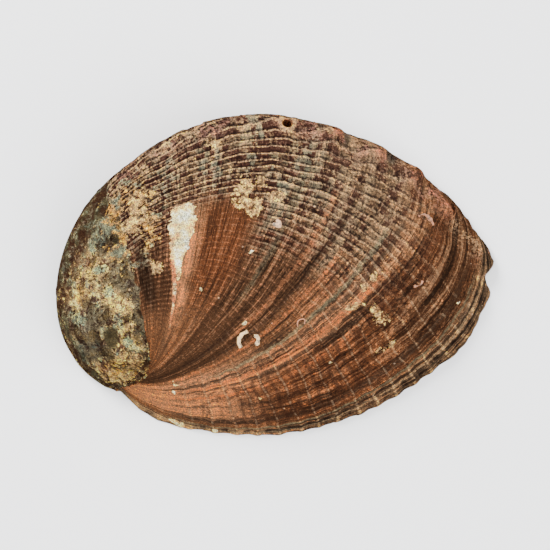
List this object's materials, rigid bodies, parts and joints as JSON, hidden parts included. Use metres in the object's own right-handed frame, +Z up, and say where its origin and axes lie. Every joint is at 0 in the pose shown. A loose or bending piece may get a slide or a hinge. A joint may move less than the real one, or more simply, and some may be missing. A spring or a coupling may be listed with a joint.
{
  "type": "abalone shell",
  "caption": "Ear-shaped ribbed sea shell with a low spire, a row of breathing pores and a hollow underside, lying mouth down.",
  "frame": {"origin": "on the surface the shell rests on, under the middle of its outline", "axes": "+X from the spire to the front lip, +Y towards the row of pores, +Z up"},
  "size_m": [0.1, 0.0734, 0.026],
  "materials": {
    "shell": "worn, ribbed shell, pearly inside"
  },
  "bodies": {
    "root": {"shell": "shell"}
  },
  "joints": []
}
